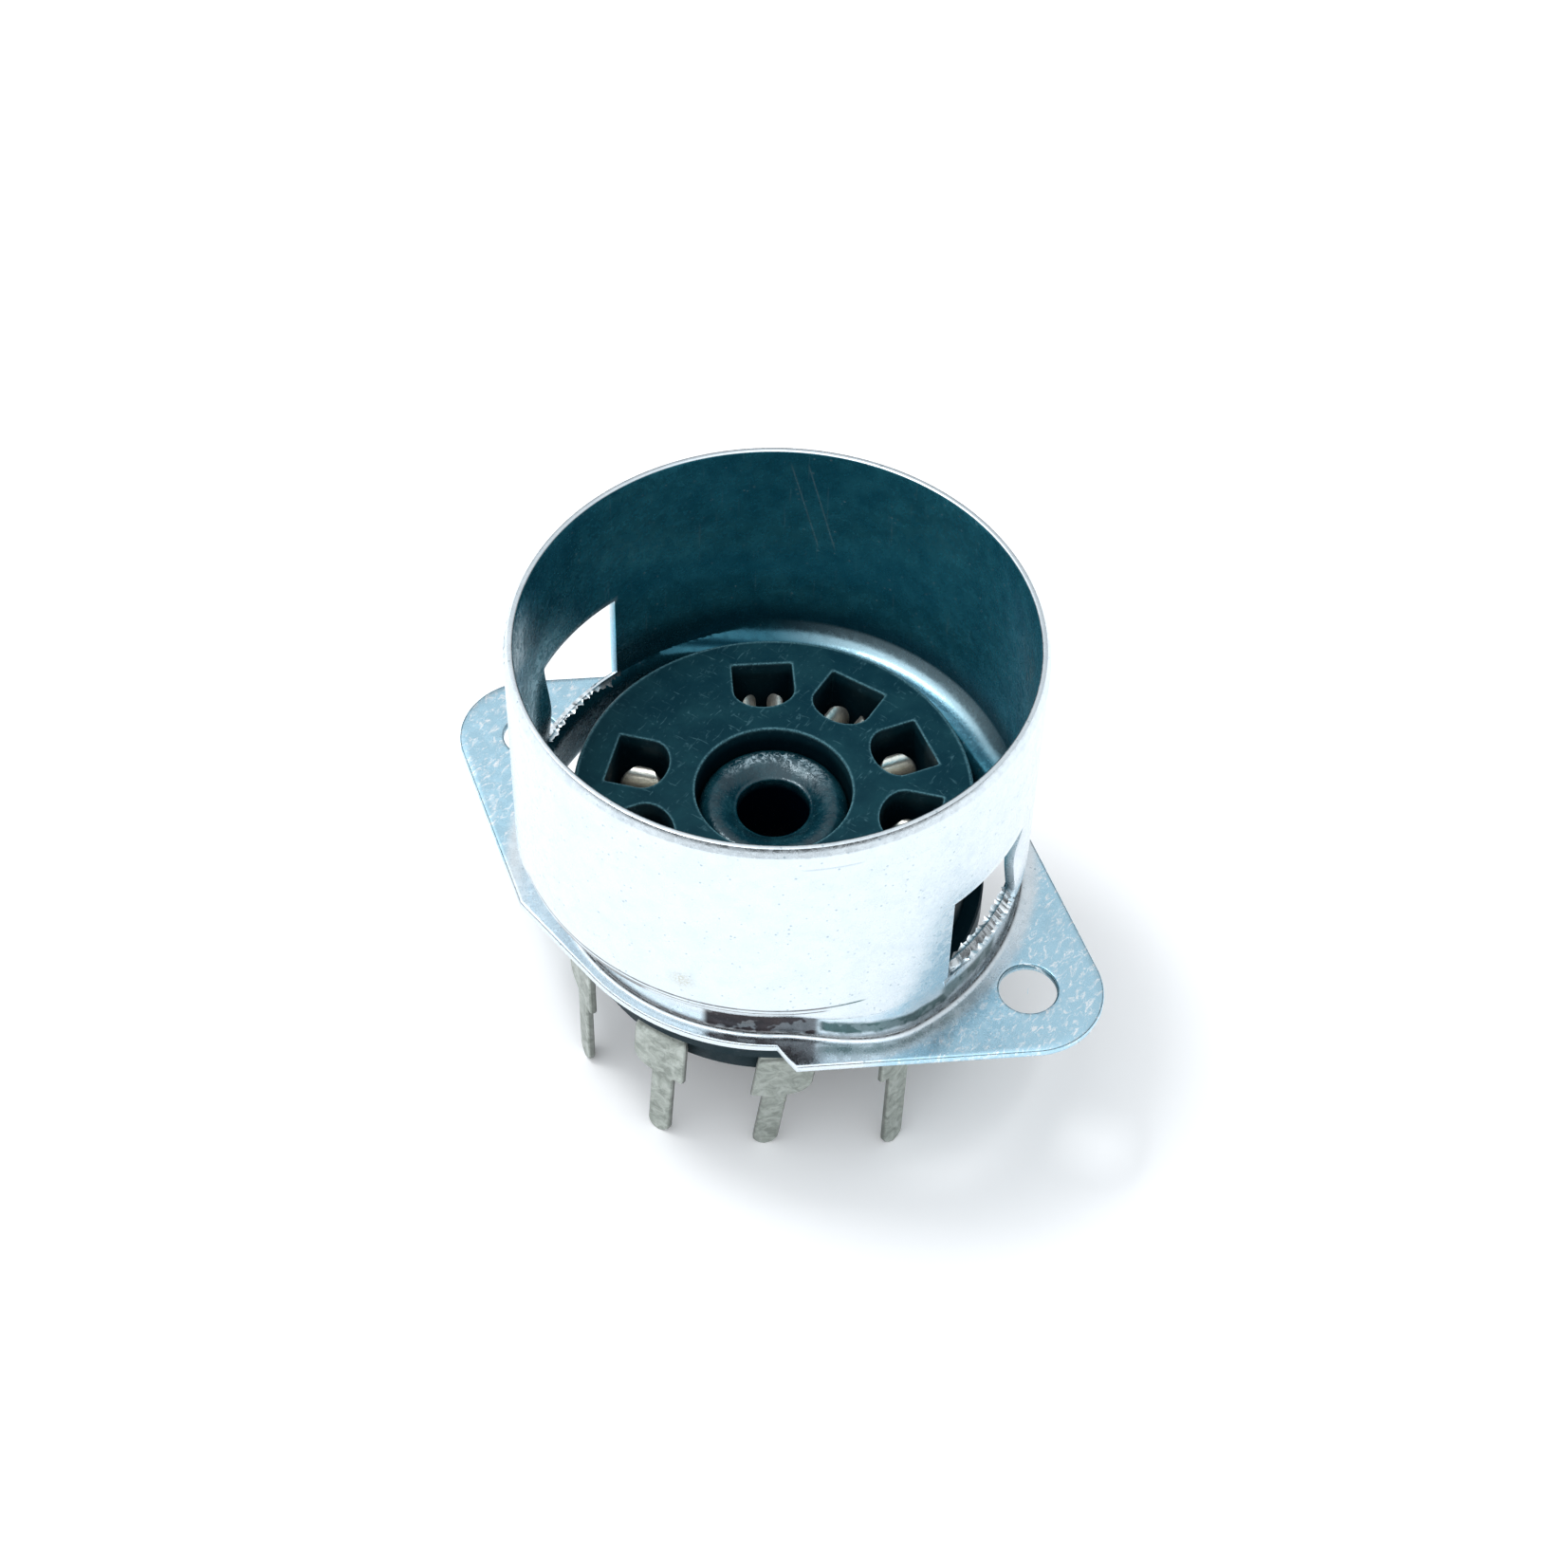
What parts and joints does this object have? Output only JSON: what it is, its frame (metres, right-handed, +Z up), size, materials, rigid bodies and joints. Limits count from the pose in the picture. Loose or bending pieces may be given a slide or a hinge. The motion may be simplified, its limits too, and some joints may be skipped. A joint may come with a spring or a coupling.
{
  "type": "valve socket",
  "caption": "Noval valve socket with a drawn metal shield base, two mounting ears, a moulded body and spring contacts with printed-board tails.",
  "frame": {"origin": "on the socket's axis, in the plane of the tail tips, at the middle of the box's underside", "axes": "+Z up along the axis towards the open rim, +X towards one mounting ear, +Y across the ears"},
  "size_m": [0.035, 0.024, 0.0263],
  "materials": {
    "tinned_steel": "bright plated steel with fine specks, light scratches and a faint haze",
    "phenolic_body": "dark moulded phenolic, satin, scuffed, worn pale along its edges",
    "phenolic_plate": "dark moulded phenolic, satin",
    "lacquered_rivet": "dark gloss lacquer, lightly rubbed on its crown",
    "tinned_contact": "dull tin plate on spring brass, brighter on the jaws"
  },
  "bodies": {
    "socket": {"shield_base": "tinned_steel", "socket_body": "phenolic_body", "base_plate": "phenolic_plate", "centre_rivet": "lacquered_rivet", "contact_1": "tinned_contact", "contact_2": "tinned_contact", "contact_3": "tinned_contact", "contact_4": "tinned_contact", "contact_5": "tinned_contact", "contact_6": "tinned_contact", "contact_7": "tinned_contact", "contact_8": "tinned_contact", "contact_9": "tinned_contact"},
    "contact_1_left_jaw": {"contact_1_left_jaw": "tinned_contact"},
    "contact_1_right_jaw": {"contact_1_right_jaw": "tinned_contact"},
    "contact_2_left_jaw": {"contact_2_left_jaw": "tinned_contact"},
    "contact_2_right_jaw": {"contact_2_right_jaw": "tinned_contact"},
    "contact_3_left_jaw": {"contact_3_left_jaw": "tinned_contact"},
    "contact_3_right_jaw": {"contact_3_right_jaw": "tinned_contact"},
    "contact_4_left_jaw": {"contact_4_left_jaw": "tinned_contact"},
    "contact_4_right_jaw": {"contact_4_right_jaw": "tinned_contact"},
    "contact_5_left_jaw": {"contact_5_left_jaw": "tinned_contact"},
    "contact_5_right_jaw": {"contact_5_right_jaw": "tinned_contact"},
    "contact_6_left_jaw": {"contact_6_left_jaw": "tinned_contact"},
    "contact_6_right_jaw": {"contact_6_right_jaw": "tinned_contact"},
    "contact_7_left_jaw": {"contact_7_left_jaw": "tinned_contact"},
    "contact_7_right_jaw": {"contact_7_right_jaw": "tinned_contact"},
    "contact_8_left_jaw": {"contact_8_left_jaw": "tinned_contact"},
    "contact_8_right_jaw": {"contact_8_right_jaw": "tinned_contact"},
    "contact_9_left_jaw": {"contact_9_left_jaw": "tinned_contact"},
    "contact_9_right_jaw": {"contact_9_right_jaw": "tinned_contact"}
  },
  "joints": [
    {"name": "contact_1_left_flex", "type": "hinge", "parent": "socket", "child": "contact_1_left_jaw", "pos_m": [-0.00638, -0.0013, 0.009], "axis": [-0.9455, -0.3256, 0], "range_deg": [0, 3.5], "stiffness_Nm_per_rad": 0.1},
    {"name": "contact_1_right_flex", "type": "hinge", "parent": "socket", "child": "contact_1_right_jaw", "pos_m": [-0.00582, -0.0029, 0.009], "axis": [0.9455, 0.3256, 0], "range_deg": [0, 3.5], "stiffness_Nm_per_rad": 0.1},
    {"name": "contact_2_left_flex", "type": "hinge", "parent": "socket", "child": "contact_2_left_jaw", "pos_m": [-0.0044, -0.0048, 0.009], "axis": [-0.5736, -0.8192, 0], "range_deg": [0, 3.5], "stiffness_Nm_per_rad": 0.1},
    {"name": "contact_2_right_flex", "type": "hinge", "parent": "socket", "child": "contact_2_right_jaw", "pos_m": [-0.003, -0.00577, 0.009], "axis": [0.5736, 0.8192, 0], "range_deg": [0, 3.5], "stiffness_Nm_per_rad": 0.1},
    {"name": "contact_3_left_flex", "type": "hinge", "parent": "socket", "child": "contact_3_left_jaw", "pos_m": [-0.00074, -0.00646, 0.009], "axis": [0.0175, -0.9998, 0], "range_deg": [0, 3.5], "stiffness_Nm_per_rad": 0.1},
    {"name": "contact_3_right_flex", "type": "hinge", "parent": "socket", "child": "contact_3_right_jaw", "pos_m": [0.00096, -0.00643, 0.009], "axis": [-0.0175, 0.9998, 0], "range_deg": [0, 3.5], "stiffness_Nm_per_rad": 0.1},
    {"name": "contact_4_left_flex", "type": "hinge", "parent": "socket", "child": "contact_4_left_jaw", "pos_m": [0.0032, -0.00566, 0.009], "axis": [0.6018, -0.7986, 0], "range_deg": [0, 3.5], "stiffness_Nm_per_rad": 0.1},
    {"name": "contact_4_right_flex", "type": "hinge", "parent": "socket", "child": "contact_4_right_jaw", "pos_m": [0.00456, -0.00464, 0.009], "axis": [-0.6018, 0.7986, 0], "range_deg": [0, 3.5], "stiffness_Nm_per_rad": 0.1},
    {"name": "contact_5_left_flex", "type": "hinge", "parent": "socket", "child": "contact_5_left_jaw", "pos_m": [0.00592, -0.0027, 0.009], "axis": [0.9563, -0.2924, 0], "range_deg": [0, 3.5], "stiffness_Nm_per_rad": 0.1},
    {"name": "contact_5_right_flex", "type": "hinge", "parent": "socket", "child": "contact_5_right_jaw", "pos_m": [0.00642, -0.00107, 0.009], "axis": [-0.9563, 0.2924, 0], "range_deg": [0, 3.5], "stiffness_Nm_per_rad": 0.1},
    {"name": "contact_6_left_flex", "type": "hinge", "parent": "socket", "child": "contact_6_left_jaw", "pos_m": [0.00638, 0.0013, 0.009], "axis": [0.9455, 0.3256, 0], "range_deg": [0, 3.5], "stiffness_Nm_per_rad": 0.1},
    {"name": "contact_6_right_flex", "type": "hinge", "parent": "socket", "child": "contact_6_right_jaw", "pos_m": [0.00582, 0.0029, 0.009], "axis": [-0.9455, -0.3256, 0], "range_deg": [0, 3.5], "stiffness_Nm_per_rad": 0.1},
    {"name": "contact_7_left_flex", "type": "hinge", "parent": "socket", "child": "contact_7_left_jaw", "pos_m": [0.0044, 0.0048, 0.009], "axis": [0.5736, 0.8192, 0], "range_deg": [0, 3.5], "stiffness_Nm_per_rad": 0.1},
    {"name": "contact_7_right_flex", "type": "hinge", "parent": "socket", "child": "contact_7_right_jaw", "pos_m": [0.003, 0.00577, 0.009], "axis": [-0.5736, -0.8192, 0], "range_deg": [0, 3.5], "stiffness_Nm_per_rad": 0.1},
    {"name": "contact_8_left_flex", "type": "hinge", "parent": "socket", "child": "contact_8_left_jaw", "pos_m": [0.00074, 0.00646, 0.009], "axis": [-0.0175, 0.9998, 0], "range_deg": [0, 3.5], "stiffness_Nm_per_rad": 0.1},
    {"name": "contact_8_right_flex", "type": "hinge", "parent": "socket", "child": "contact_8_right_jaw", "pos_m": [-0.00096, 0.00643, 0.009], "axis": [0.0175, -0.9998, 0], "range_deg": [0, 3.5], "stiffness_Nm_per_rad": 0.1},
    {"name": "contact_9_left_flex", "type": "hinge", "parent": "socket", "child": "contact_9_left_jaw", "pos_m": [-0.0032, 0.00566, 0.009], "axis": [-0.6018, 0.7986, 0], "range_deg": [0, 3.5], "stiffness_Nm_per_rad": 0.1},
    {"name": "contact_9_right_flex", "type": "hinge", "parent": "socket", "child": "contact_9_right_jaw", "pos_m": [-0.00456, 0.00464, 0.009], "axis": [0.6018, -0.7986, 0], "range_deg": [0, 3.5], "stiffness_Nm_per_rad": 0.1}
  ]
}
